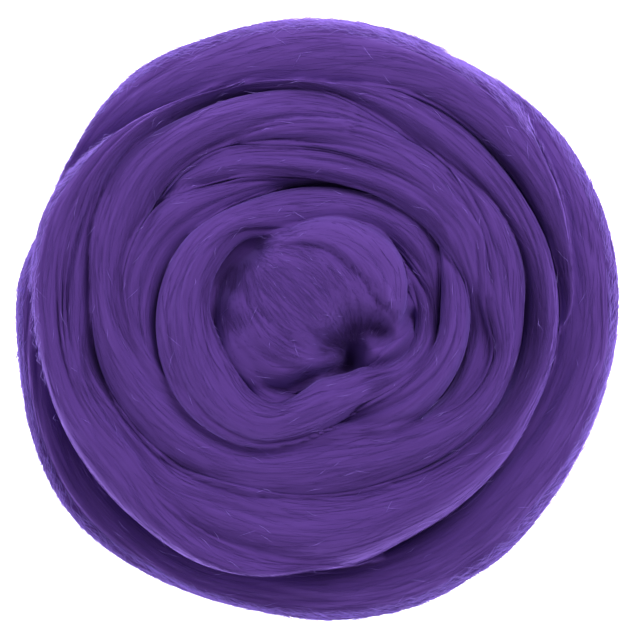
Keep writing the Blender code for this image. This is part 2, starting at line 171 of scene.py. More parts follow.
# Where turns meet, their loose fibres fill the crevice between them.
seams = {
    "width": 9.0,  # mm of depth over which two surfaces run together where they cross
    "breadth": 3.5,  # mm to either side of a line that its own width holds for
    "ownReach": 60.0,  # degrees to either side within which a turn doesn't meet itself
    "lines": {
        # angle in degrees, radius in mm and the width there: narrow for a dark crevice, wide for a soft one
        "outerLine": [
            (262, 79, 13), (272, 77, 15), (282, 74, 16), (292, 72.5, 16), (302, 71.5, 15), (318, 71.3, 12),
            (335, 71.3, 9), (350, 72.5, 12), (362, 73.2, 15), (372, 74, 16), (385, 74, 15), (400, 73.3, 11),
            (410, 73.3, 7), (420, 74, 7), (432, 73, 10), (442, 71.5, 12), (452, 70.5, 13), (462, 70.3, 12),
            (472, 72, 7), (480, 73, 9),
        ],
        "rimLine": [(10, 76, 9), (22, 80, 12), (35, 84, 12), (50, 88, 12), (60, 89, 9)],
        "crestLine": [
            (116, 75.5, 9), (124, 78, 7), (132, 80, 6), (142, 84, 5), (150, 88, 5), (170, 86, 6),
            (185, 83.5, 7), (200, 82.5, 4), (218, 82, 3), (234, 81.5, 4), (247, 81.5, 6), (260, 80, 9),
        ],
        "crestInner": [
            (140, 79, 9), (152, 80, 12), (168, 79, 14), (185, 76.5, 14), (200, 74, 12), (215, 71, 9),
        ],
        "broadLine": [
            (150, 72, 11), (162, 71, 14), (175, 69.5, 13), (186, 68.5, 9), (193, 68, 5), (199, 67.5, 7),
            (206, 65.5, 11), (212, 64, 6), (220, 63, 12), (228, 61.5, 6), (236, 60, 13), (248, 56.5, 13),
            (258, 54.5, 7), (275, 54.3, 5), (290, 54.5, 8), (305, 56.5, 9), (320, 59.5, 11), (332, 60.7, 9),
            (342, 61.3, 5), (350, 61.8, 2.5), (358, 62.5, 2.5), (366, 63.3, 5), (376, 64, 9), (386, 63.5, 12),
            (396, 62.5, 9), (406, 61, 7), (416, 60.5, 4), (425, 60.5, 4), (434, 63, 8), (448, 66.5, 11),
            (460, 69, 12), (472, 71, 9),
        ],
        "swingingInner": [
            (80, 60, 14), (95, 60.3, 14), (118, 60.5, 12), (128, 61, 7), (138, 61, 8), (148, 61, 14),
            (163, 61, 13), (172, 60, 8), (182, 58, 6), (192, 55.5, 6), (198, 54, 7), (208, 51.5, 13),
            (218, 49, 9),
        ],
        "slimLine": [(8, 53.5, 11), (20, 54.5, 13), (32, 57.5, 14), (44, 60, 13), (55, 60.5, 9)],
        "slimInner": [(66, 52.5, 9), (76, 52.3, 12), (92, 53.3, 13), (104, 56, 14), (114, 59, 12)],
        "pocketOuter": [(112, 47, 9), (120, 51, 14), (130, 55, 14), (142, 60, 12)],
        "ringLine": [
            (298, 30.5, 14), (312, 30.7, 14), (325, 32.5, 12), (335, 34.5, 9), (344, 36.5, 7), (352, 37, 6),
            (363, 37.5, 5.5), (375, 38.5, 6), (383, 41, 9), (392, 43.5, 9), (402, 44, 8), (412, 43, 8),
            (425, 41.7, 10), (440, 41.5, 11), (456, 41.5, 10), (470, 42, 9), (482, 42.5, 10), (494, 43.5, 10),
            (502, 45, 6), (509, 47, 5), (517, 48, 7), (526, 49.3, 6.5), (536, 49.6, 6), (546, 49.8, 8),
            (556, 49.7, 10), (570, 49, 12), (582, 47, 13), (595, 44.5, 14), (610, 41, 14), (622, 38.5, 14),
            (634, 35.5, 14), (650, 31.8, 14), (662, 30.3, 14),
        ],
        "humpedLine": [
            (300, 41, 10), (310, 42, 6), (320, 44, 6), (332, 45, 6), (342, 45.8, 5), (352, 47.3, 5.5),
            (362, 47.5, 7), (370, 46.5, 8), (380, 45.5, 9), (390, 45, 10),
        ],
        "dippingLine": [
            (308, 45, 9), (320, 49.5, 8), (332, 53, 9), (343, 55, 14), (352, 55.5, 13), (360, 52, 9),
        ],
        "capLine": [
            (318, 23.5, 9), (326, 26, 5), (335, 28.3, 5), (345, 29.7, 3), (358, 29.7, 2.5), (366, 29.5, 5),
            (374, 29.5, 12), (390, 31.5, 14), (410, 32, 14),
        ],
        "capInner": [
            (12, 21, 12), (30, 19.5, 14), (50, 19.5, 14), (75, 21, 14), (95, 23.3, 14), (112, 24.5, 14),
            (122, 26, 9),
        ],
        "ringInner": [
            (22, 36.5, 9), (32, 36.5, 6), (45, 36, 6), (55, 34.5, 6), (65, 33, 7), (80, 31.5, 10),
            (95, 30, 9), (108, 29.5, 7), (120, 30, 5), (130, 31, 5), (140, 31, 4), (152, 32, 4),
            (168, 32.5, 6), (180, 32, 8), (190, 31, 8), (200, 30.5, 10), (215, 30, 11), (224, 29, 8),
            (232, 27, 8), (241, 25.3, 7), (248, 22.5, 5.5), (254, 21.5, 5), (265, 18.5, 5), (280, 17.3, 4),
            (295, 16.8, 3), (305, 16.3, 2), (316, 17, 2), (326, 21, 4),
        ],
    },
}


def seamWidth(x, y):
    # The common width, drawn to each line's own width by exp(-(distance from the line / breadth) squared).
    bearing, radius = np.degrees(np.arctan2(y, x)) % 360, np.hypot(x, y)
    width = np.full(np.shape(x), seams["width"])
    for rows in seams["lines"].values():
        angles, line, own = np.array(rows, float).T
        for lap in (0.0, 360.0):
            place = bearing + lap
            near = np.exp(-(((radius - np.interp(place, angles, line)) / seams["breadth"]) ** 2))
            near = np.where((place > angles[0]) & (place < angles[-1]), near, 0.0)
            width = width + (np.interp(place, angles, own) - width) * near
    return width


def turnTop(strand, angle, radius):
    # The upper side of a turn's leaning ellipse at an offset from its middle: height + (coupling * offset +
    # area * sqrt(reach - offset squared)) / reach, where reach is its half width on the level, squared.
    ends = strand["angles"][0], strand["angles"][-1]
    columns = (np.interp(angle, strand["angles"], column) for column in strand["profile"])
    middle, height, reach, coupling, area = columns
    offset = radius - middle
    root = reach - offset**2
    top = height + (coupling * offset + area * np.sqrt(np.maximum(root, 0))) / reach
    return np.where((root > 0) & (angle > ends[0]) & (angle < ends[1]), top, nothing)


def othersTop(points, own=None, ownAngle=None, withMiddle=True):
    # The highest of the other turns, and of a turn's own other rounds, over each point.
    x, y = points[..., 0], points[..., 1]
    bearing, radius = np.degrees(np.arctan2(y, x)), np.hypot(x, y)
    top = middleTop(x, y) if withMiddle else np.full(x.shape, nothing)
    for strand in upperStrands:
        for lap in (0.0, 360.0):
            there = turnTop(strand, bearing + lap, radius)
            if strand is own:
                there = np.where(np.abs(bearing + lap - ownAngle) < seams["ownReach"], nothing, there)
            top = np.maximum(top, there)
    return top


def melding(points, upward, other):
    # The rise to the smooth maximum of two heights a gap apart: (width - gap) squared / (4 * width) above
    # the other turn, and (width / 4 + gap / 2) * (1 - (gap / width) squared) squared under it. It comes in
    # by smoothStep(2 * upward), so undersides don't move.
    width = seamWidth(points[..., 0], points[..., 1])
    gap = np.clip(other - points[..., 2], -width, width)
    above = (width + np.minimum(gap, 0)) ** 2 / (4 * width)
    under = (width / 4 + gap / 2) * (1 - (gap / width) ** 2) ** 2
    return np.where(gap < 0, above, under) * smoothStep(np.clip(upward * 2, 0, 1))


# Meshes from arrays.
mapUnit = 100.0  # mm to one unit of the fibre map


def putMesh(name, points, polygons, uvs, material):
    # polygons is a list of whole-number arrays, one row for each face, and uvs the matching corner arrays.
    corners = np.concatenate([faces.ravel() for faces in polygons])
    sizes = np.concatenate([np.full(len(faces), faces.shape[1]) for faces in polygons])
    starts = np.concatenate([[0], np.cumsum(sizes)[:-1]])
    mesh = bpy.data.meshes.new(name)
    mesh.vertices.add(len(points))
    mesh.vertices.foreach_set("co", (points * mm).astype(np.float32).ravel())
    mesh.loops.add(len(corners))
    mesh.loops.foreach_set("vertex_index", corners.astype(np.int32))
    mesh.polygons.add(len(sizes))
    mesh.polygons.foreach_set("loop_start", starts.astype(np.int32))
    layer = mesh.uv_layers.new(name="fibreMap")
    places = np.concatenate([uv.reshape(-1, 2) for uv in uvs])
    layer.data.foreach_set("uv", places.astype(np.float32).ravel())
    mesh.polygons.foreach_set("use_smooth", np.full(len(sizes), True))
    mesh.update(calc_edges=True)
    mesh.validate()
    mesh.materials.append(material)
    piece = bpy.data.objects.new(name, mesh)
    bpy.context.scene.collection.objects.link(piece)
    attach(piece, "root")
    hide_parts(ballNode)
    return piece


def closedSurface(name, grid, along, around, material):
    # grid is stations by sides of points, whose sides wrap round; a fan to its middle closes each end.
    # along and around, in mm, are each corner's place on the fibre map, with one more side for the seam.
    stations, sides = grid.shape[:2]
    points = np.concatenate([grid.reshape(-1, 3), [grid[0].mean(axis=0)], [grid[-1].mean(axis=0)]])
    row = np.arange(stations - 1)[:, None] * sides
    column = np.arange(sides)[None, :]
    following = (column + 1) % sides
    quads = np.stack([row + column, row + sides + column, row + sides + following, row + following], -1)
    quads = quads.reshape(-1, 4)
    last = (stations - 1) * sides
    middle = np.full(sides, stations * sides)
    fans = np.stack([middle, column[0], following[0]], -1)
    fans = np.concatenate([fans, np.stack([middle + 1, last + following[0], last + column[0]], -1)])
    uv = np.stack(np.broadcast_arrays(along, around), -1) / mapUnit
    quadUvs = np.stack([uv[:-1, :-1], uv[1:, :-1], uv[1:, 1:], uv[:-1, 1:]], 2).reshape(-1, 4, 2)
    ends = []
    for end in (uv[0], uv[-1][::-1]):
        centre = np.broadcast_to(end.mean(axis=0), (sides, 2))
        ends.append(np.stack([centre, end[:-1], end[1:]], 1))
    first, second, third = points[quads[:, 0]], points[quads[:, 1]], points[quads[:, 2]]
    if np.sum(np.cross(first, second) * third) < 0:
        quads, quadUvs = quads[:, ::-1], quadUvs[:, ::-1]
        fans, ends = fans[:, ::-1], [end[:, ::-1] for end in ends]
    return putMesh(name, points, [quads, fans], [quadUvs, np.concatenate(ends)], material)


sideCrowding = 0.45  # how much closer the sides lie on top


def strandPiece(strand, material, stationGap, sides):
    # Stations along the strand by angles round it, from the hidden underside round to it again.
    # The share of a round is s + crowding * sin(2 * pi * s) / (2 * pi), so the sides lie closer on top.
    stations = max(6, math.ceil(strand["length"] / stationGap))
    along = np.linspace(0, strand["length"], stations)[:, None]
    share = np.linspace(0, 1, sides + 1)[None, :]
    share = share + sideCrowding * np.sin(2 * math.pi * share) / (2 * math.pi)
    grid = strandPoints(strand, along, 2 * math.pi * share[:, :-1] - math.pi / 2)[0]
    return closedSurface(strand["name"], grid, along, share * strand["girth"], material)


# The wool itself.
wool = {
    "shade": (0.054, 0.020, 0.140),
    "body": (0.067, 0.026, 0.172),
    "light": (0.083, 0.035, 0.210),
    "roughness": 0.9,
    "sheen": 0.32,
    "sheenRoughness": 0.5,
    "sheenTint": (0.36, 0.20, 0.95),
    "specular": 0.15,
    "streakWidth": 0.9,  # mm
    "streakLength": 26.0,  # mm
    "streakDetail": 4.0,
    "streakRoughness": 0.6,
    "shadeUpTo": 0.22,  # of the streaks' noise
    "bodyAt": 0.5,
    "lightFrom": 0.80,
    "bumpStrength": 0.6,
    "bumpDepth": 0.06,  # mm
}


def woolMaterial(name, settings):
    # Colour and bump are one noise, stretched along the fibres by the piece's own map.
    material = bpy.data.materials.new(name)
    material.use_nodes = True
    nodes, links = material.node_tree.nodes, material.node_tree.links
    shader = nodes["Principled BSDF"]
    shader.inputs["Roughness"].default_value = settings["roughness"]
    shader.inputs["Sheen Weight"].default_value = settings["sheen"]
    shader.inputs["Sheen Roughness"].default_value = settings["sheenRoughness"]
    shader.inputs["Sheen Tint"].default_value = (*settings["sheenTint"], 1)
    shader.inputs["Specular IOR Level"].default_value = settings["specular"]
    fibreMap = nodes.new("ShaderNodeUVMap")
    fibreMap.uv_map = "fibreMap"
    stretch = nodes.new("ShaderNodeMapping")
    streakSize = settings["streakLength"], settings["streakWidth"]
    stretch.inputs["Scale"].default_value = (mapUnit / streakSize[0], mapUnit / streakSize[1], 1)
    streaks = nodes.new("ShaderNodeTexNoise")
    streaks.inputs["Scale"].default_value = 1.0
    streaks.inputs["Detail"].default_value = settings["streakDetail"]
    streaks.inputs["Roughness"].default_value = settings["streakRoughness"]
    ramp = nodes.new("ShaderNodeValToRGB")
    ramp.color_ramp.elements[0].position = settings["shadeUpTo"]
    ramp.color_ramp.elements[0].color = (*settings["shade"], 1)
    ramp.color_ramp.elements[1].position = settings["lightFrom"]
    ramp.color_ramp.elements[1].color = (*settings["light"], 1)
    middle = ramp.color_ramp.elements.new(settings["bodyAt"])
    middle.color = (*settings["body"], 1)
    bump = nodes.new("ShaderNodeBump")
    bump.inputs["Strength"].default_value = settings["bumpStrength"]
    bump.inputs["Distance"].default_value = settings["bumpDepth"] * mm
    links.new(fibreMap.outputs["UV"], stretch.inputs["Vector"])
    links.new(stretch.outputs["Vector"], streaks.inputs["Vector"])
    links.new(streaks.outputs["Fac"], ramp.inputs["Fac"])
    links.new(ramp.outputs["Color"], shader.inputs["Base Color"])
    links.new(streaks.outputs["Fac"], bump.inputs["Height"])
    links.new(bump.outputs["Normal"], shader.inputs["Normal"])
    return material


violetWool = woolMaterial("violetWool", wool)
print("wool mixed")


# The turns that show from above. Their rows give angle in degrees, inner edge, outer edge and crest in mm.
upperTurns = {
    "lowTurn": {
        "depth": 18.0,
        "fullness": 1.0,
        "leanShare": 0.4,  # of the lean that its radius gives
        "tuck": 10.0,  # mm by which its ends go in under the turns above
        "twist": 0.5,
        "rows": [
            (132, 70.0, 84.0, 38), (145, 71.0, 86.0, 43), (157, 72.0, 86.7, 46), (170, 75.0, 91.0, 46),
            (185, 78.0, 91.7, 46), (200, 80.0, 93.7, 44.5), (218, 81.0, 95.7, 43.5), (240, 79.0, 92.2, 45.5),
            (257, 75.0, 91.5, 47), (272, 72.5, 92.3, 44.5), (290, 70.5, 92.8, 44.5), (305, 69.3, 91.7, 48),
            (322, 67.5, 89.7, 54), (342, 69.0, 89.7, 57), (360, 71.0, 91.2, 60), (378, 71.0, 92.0, 61),
            (395, 73.5, 92.0, 60), (410, 79.0, 91.0, 53), (422, 82.0, 89.0, 47),
        ],
    },
    "rimTurn": {
        "depth": 18.0,
        "fullness": 1.2,
        "tuck": 10.0,
        "twist": -0.35,
        "rows": [
            (5, 72.0, 76.5, 60), (15, 72.5, 79.0, 64), (25, 73.2, 82.0, 66), (35, 73.6, 84.8, 67),
            (48, 73.8, 88.0, 67), (62, 73.8, 88.4, 67), (80, 72.0, 89.3, 67), (95, 71.5, 90.7, 65),
            (112, 73.5, 91.4, 61), (125, 77.0, 93.2, 54), (137, 80.0, 91.6, 47), (147, 81.5, 89.2, 42),
            (155, 81.5, 87.4, 39),
        ],
    },
    "crestTurn": {
        "depth": 13.0,
        "fullness": 1.2,
        "twist": 0.2,
        "rows": [
            (118, 73.0, 76.5, 60), (128, 74.5, 79.8, 65), (138, 76.5, 83.0, 68), (148, 77.5, 86.0, 69),
            (158, 78.0, 88.3, 69), (170, 77.5, 87.0, 68), (186, 75.5, 84.3, 67), (203, 72.5, 83.0, 67),
            (216, 69.5, 82.2, 67), (230, 72.0, 81.5, 67), (247, 73.5, 81.5, 67), (259, 73.0, 79.0, 65),
            (269, 71.0, 75.5, 60),
        ],
    },
    "broadTurn": {
        "depth": 25.0,
        "fullness": 1.35,
        "twist": 0.3,
        "rows": [
            (112, 70.0, 73.0, 63), (122, 71.5, 76.0, 65), (133, 72.5, 79.5, 66), (146, 72.5, 81.0, 66),
            (160, 68.5, 81.0, 65), (175, 66.5, 78.5, 65), (192, 67.0, 76.5, 65), (210, 63.5, 74.5, 65),
            (228, 61.5, 74.5, 66), (244, 57.0, 75.5, 66), (260, 55.3, 76.0, 66), (276, 54.7, 75.0, 66),
            (292, 55.0, 71.5, 66), (308, 57.2, 70.5, 66), (328, 60.7, 71.0, 66), (350, 63.6, 72.5, 67),
            (375, 64.0, 73.7, 67), (395, 61.8, 73.2, 67), (414, 60.5, 73.7, 68), (428, 61.3, 74.0, 68),
            (444, 64.5, 71.5, 67.5), (457, 67.5, 71.5, 67), (468, 69.5, 72.0, 64),
        ],
    },
    "swingingTurn": {
        "depth": 18.0,
        "fullness": 1.35,
        "twist": -0.4,
        "rows": [
            (55, 56.0, 60.0, 62), (70, 56.5, 63.0, 67), (88, 57.5, 68.5, 69), (108, 59.5, 71.0, 70),
            (126, 62.2, 74.0, 70), (140, 63.0, 76.0, 69), (155, 61.5, 74.0, 69), (170, 60.0, 69.5, 69),
            (190, 55.0, 67.5, 69), (208, 49.5, 65.0, 69), (225, 46.0, 62.0, 69), (243, 43.0, 57.5, 69),
            (262, 38.5, 54.5, 69), (280, 37.0, 53.5, 69), (298, 40.0, 54.5, 69), (314, 45.0, 58.0, 69),
            (330, 51.5, 60.0, 69), (348, 54.5, 61.2, 69), (366, 52.0, 63.0, 69), (380, 54.0, 64.0, 69),
            (392, 56.0, 63.5, 68), (402, 57.0, 62.0, 65), (412, 58.0, 61.0, 60),
        ],
    },
    "dippingTurn": {
        "depth": 18.0,
        "fullness": 1.3,
        "twist": 0.2,
        "rows": [
            (308, 41.5, 44.0, 60), (318, 43.2, 47.0, 65), (330, 45.4, 52.5, 65.5), (344, 46.6, 55.5, 64),
            (356, 46.8, 56.5, 62), (364, 46.0, 54.5, 63.5), (375, 46.2, 53.5, 67.5), (388, 45.6, 56.5, 69.5),
            (400, 45.2, 56.5, 69), (415, 43.8, 54.5, 69), (435, 42.7, 52.5, 69), (452, 43.8, 53.0, 69),
            (466, 46.0, 56.0, 69), (482, 50.5, 60.5, 68.5), (494, 54.0, 61.5, 65),
        ],
    },
    "slimTurn": {
        "depth": 14.0,
        "fullness": 1.5,
        "twist": 0.1,
        "rows": [
            (382, 52.5, 57.0, 63), (394, 52.5, 58.5, 66), (408, 53.0, 60.5, 69), (430, 52.5, 60.5, 70),
            (450, 53.5, 60.5, 69), (465, 55.0, 61.0, 67), (476, 57.0, 60.5, 61),
        ],
    },
    "pocketTurn": {
        "depth": 18.0,
        "fullness": 1.3,
        "twist": 0.2,
        "rows": [
            (100, 41.0, 44.5, 60), (112, 41.5, 48.0, 65), (128, 43.5, 52.0, 68), (140, 45.5, 58.5, 69),
            (152, 48.6, 61.0, 68), (166, 50.0, 61.0, 67.5), (180, 49.8, 58.5, 67), (196, 48.2, 55.0, 66),
            (208, 47.5, 51.5, 60),
        ],
    },
    "humpedTurn": {
        "depth": 18.0,
        "fullness": 1.3,
        "twist": 0.2,
        "rows": [
            (246, 36.0, 40.0, 58), (262, 33.5, 38.5, 60.5), (275, 31.0, 38.0, 62), (290, 29.9, 39.0, 65),
            (305, 30.5, 41.5, 69), (320, 32.5, 43.5, 71), (335, 35.5, 44.5, 72), (352, 37.8, 45.5, 72),
            (368, 38.6, 46.0, 70), (382, 40.5, 46.0, 66), (394, 43.0, 46.0, 58),
        ],
    },
    "ringTurn": {
        "depth": 18.0,
        "fullness": 1.15,
        "twist": 0.5,
        "rows": [
            (-12, 34.5, 37.5, 57), (8, 34.5, 38.5, 61), (24, 33.5, 43.0, 64), (42, 33.0, 44.6, 65.5),
            (60, 31.5, 42.7, 66), (78, 29.0, 41.3, 67), (98, 27.0, 41.0, 68), (115, 28.5, 41.5, 71),
            (132, 33.5, 43.8, 74), (148, 34.8, 46.5, 75), (170, 34.8, 48.0, 75), (192, 32.3, 48.5, 75),
            (212, 31.0, 48.2, 75), (232, 31.0, 45.5, 75), (246, 28.5, 42.3, 75), (256, 24.0, 39.0, 75),
            (268, 20.3, 35.4, 75), (284, 19.3, 31.3, 75), (300, 20.0, 30.2, 74), (314, 21.5, 31.5, 72),
            (328, 26.0, 33.5, 72), (345, 29.3, 36.5, 68), (360, 29.8, 36.5, 63.5), (372, 28.8, 36.5, 62),
            (385, 27.3, 36.0, 61.5), (398, 26.5, 35.0, 60), (412, 27.0, 33.5, 57), (425, 27.0, 32.0, 52),
        ],
    },
    "capTurn": {
        "depth": 14.0,
        "fullness": 1.1,
        "twist": 0.1,
        "rows": [
            (-5, 23.3, 24.8, 65), (5, 22.0, 26.3, 71), (18, 19.5, 28.6, 74.5), (40, 19.5, 31.5, 77.4),
            (62, 20.0, 31.5, 77.6), (80, 21.5, 31.0, 76.3), (98, 23.0, 29.5, 74), (112, 24.0, 28.5, 69),
        ],
    },
    "innerTurn": {
        "depth": 14.0,
        "fullness": 1.3,
        "twist": 0.1,
        "rows": [
            (160, 27.0, 30.5, 58), (175, 26.5, 30.5, 61), (192, 25.0, 31.0, 65), (212, 24.5, 31.0, 68),
            (232, 26.0, 31.5, 68), (246, 25.0, 31.0, 66), (258, 22.0, 26.0, 58),
        ],
    },
}
turnShape = {
    "stationDegrees": 1.0,
    "levelRadius": 50.0,  # turns nearer the middle than this lie level
    "rimRadius": 90.0,
    "levelShare": 0.99,  # the crests are nearer the camera than the rim, so they look this much larger
    "rimLean": 30.0,  # degrees by which a turn at the rim leans outwards
    "tailLength": 22.0,  # mm that each end runs on, down between its neighbours
    "tailDepth": 22.0,
    "taperLength": 8.0,
    "stationGap": 1.6,  # mm between two stations of the mesh
    "sides": 68,
}
leastTaper = 0.02  # so that no section of a strand shrinks to a point


def taper(stations, length):
    # sqrt(distance from the nearer end / length), up to 1: round ends.
    fromEnd = np.minimum(stations - stations[0], stations[-1] - stations)
    return np.sqrt(np.clip(fromEnd / length, leastTaper, 1.0))


def roundFrame(angles, lean):
    # Outward is (cos, sin, 0) of the angle; side and up are that direction and +Z, turned by the lean.
    turn, lean = np.radians(angles), np.radians(lean)[:, None]
    outward = np.stack([np.cos(turn), np.sin(turn), np.zeros_like(turn)], axis=1)
    upward = np.array([0.0, 0.0, 1.0])
    sides = outward * np.cos(lean) - upward * np.sin(lean)
    ups = outward * np.sin(lean) + upward * np.cos(lean)
    return outward, sides, ups


def turnStrand(name, settings):
    # The leaning ellipse reaches from the inner edge to the outer edge and up to the crest. Its inner edge
    # goes on in under the turn inside it, by fullness. Past its first and last row the strand goes down by
    # tailDepth * (share of the tail) ** 1.5, and in by tuck times the same.
    rows, shape = settings["rows"], turnShape
    tails = [math.degrees(shape["tailLength"] / row[2]) for row in (rows[0], rows[-1])]
    count = round((rows[-1][0] - rows[0][0] + sum(tails)) / shape["stationDegrees"])
    angles = np.linspace(rows[0][0] - tails[0], rows[-1][0] + tails[1], count)
    inner, outer, crest = readRows(rows, np.clip(angles, rows[0][0], rows[-1][0])).T
    outer = outer * shape["levelShare"]
    reach = (outer - inner) / 2 * settings["fullness"]
    radius = outer - reach
    past = np.maximum((rows[0][0] - angles) / tails[0], (angles - rows[-1][0]) / tails[1])
    past = np.maximum(past, 0) ** 1.5
    crest = crest - shape["tailDepth"] * past
    radius = radius - settings.get("tuck", 0.0) * past
    share = (radius - shape["levelRadius"]) / (shape["rimRadius"] - shape["levelRadius"])
    lean = shape["rimLean"] * np.clip(share, 0, 1) * settings.get("leanShare", 1.0)
    outward, sides, ups = roundFrame(angles, lean)
    sine, cosine = np.sin(np.radians(lean)), np.cos(np.radians(lean))
    halfDepth = settings["depth"] / 2 * taper(np.radians(angles) * radius.mean(), shape["taperLength"])
    halfWidth = np.sqrt(np.maximum(reach**2 - (halfDepth * sine) ** 2, (reach / 2) ** 2)) / cosine
    middles = outward * radius[:, None]
    middles[:, 2] = crest - np.sqrt((halfWidth * sine) ** 2 + (halfDepth * cosine) ** 2)
    strand = makeStrand(name, middles, sides, ups, halfWidth, halfDepth, settings["twist"])
    strand["angles"] = angles
    reach = (halfWidth * cosine) ** 2 + (halfDepth * sine) ** 2
    coupling = (halfDepth**2 - halfWidth**2) * sine * cosine
    strand["profile"] = [radius, middles[:, 2], reach, coupling, halfWidth * halfDepth]
    return strand


upperStrands = [turnStrand(name, settings) for name, settings in upperTurns.items()]
print("upper turns wound:", len(upperStrands))


# The hidden turns, down the side and then in across the underside.
underTurn = {
    "halfWidth": 9.0,
    "halfDepth": 8.7,
    "twist": 2.5,
    "stationDegrees": 2.0,
    "taperDegrees": 4.0,
    "stationGap": 4.0,
    "sides": 40,
    "rows": [
        # angle, radius of the strand's middle, its height
        (60, 80.0, 44.0), (100, 81.0, 39.0), (140, 79.0, 32.0), (157, 78.0, 29.0), (185, 80.0, 25.5),
        (215, 83.0, 24.0), (250, 80.0, 24.0), (290, 81.0, 28.0), (330, 79.5, 32.0), (360, 80.5, 34.0),
        (395, 82.0, 31.0), (430, 79.5, 24.5), (470, 78.5, 19.5), (517, 75.5, 14.0), (575, 76.5, 9.5),
        (640, 75.0, 10.0), (700, 75.0, 13.5), (745, 74.5, 15.0), (800, 70.0, 10.5), (860, 65.0, 8.0),
        (960, 60.5, 7.5), (1080, 55.0, 7.5), (1260, 47.5, 7.5), (1440, 40.0, 7.5), (1620, 32.5, 7.5),
        (1800, 25.0, 7.5), (1980, 17.5, 7.5), (2160, 10.0, 7.5), (2250, 8.0, 7.5),
    ],
}


def underStrand(settings):
    # A spiral, level across: outward * radius, at the table's height.
    rows = settings["rows"]
    angles = np.arange(rows[0][0], rows[-1][0], settings["stationDegrees"])
    radius, height = readRows(rows, angles).T
    outward, sides, ups = roundFrame(angles, np.zeros_like(angles))
    middles = outward * radius[:, None]
    middles[:, 2] = height
    size = taper(angles, settings["taperDegrees"])
    halfWidths, halfDepths = size * settings["halfWidth"], size * settings["halfDepth"]
    return makeStrand("underTurn", middles, sides, ups, halfWidths, halfDepths, settings["twist"])


hiddenStrand = underStrand(underTurn)
strandPiece(hiddenStrand, violetWool, underTurn["stationGap"], underTurn["sides"])
print("under turn laid")


# The curl that is tucked in beside the wound middle.
tuckedCurl = {
    "halfWidth": 3.0,
    "halfDepth": 6.0,
    "twist": 0.15,
    "stationsEach": 12,  # to each point of the path
    "taperShare": 0.25,  # of the path, at each end
    "stationGap": 0.8,
    "sides": 60,
    "path": [
        # x, y and crest
        (17.2, -15.2, 58.0), (18.2, -13.0, 64.5), (20.2, -11.2, 67.5), (22.4, -9.6, 68.0),
        (24.2, -8.0, 66.5), (25.6, -6.4, 63.0), (26.4, -5.0, 56.0),
    ],
}


def pathStrand(name, settings):
    # A smooth route over the path's points, level across, half its depth under each point's crest.
    path = settings["path"]
    rows = [(place, *point) for place, point in zip(np.linspace(0, 1, len(path)), path)]
    stations = np.linspace(0, 1, settings["stationsEach"] * len(path))
    middles = readRows(rows, stations) - np.array([0, 0, settings["halfDepth"]])
    runs = unit(np.gradient(middles, axis=0))
    sides = unit(np.stack([runs[:, 1], -runs[:, 0], np.zeros(len(runs))], axis=1))
    ups = np.cross(sides, runs)
    size = taper(stations, settings["taperShare"])
    halfWidths, halfDepths = size * settings["halfWidth"], size * settings["halfDepth"]
    return makeStrand(name, middles, sides, ups, halfWidths, halfDepths, settings["twist"])


curlStrand = pathStrand("tuckedCurl", tuckedCurl)
curlStrand["melded"] = True


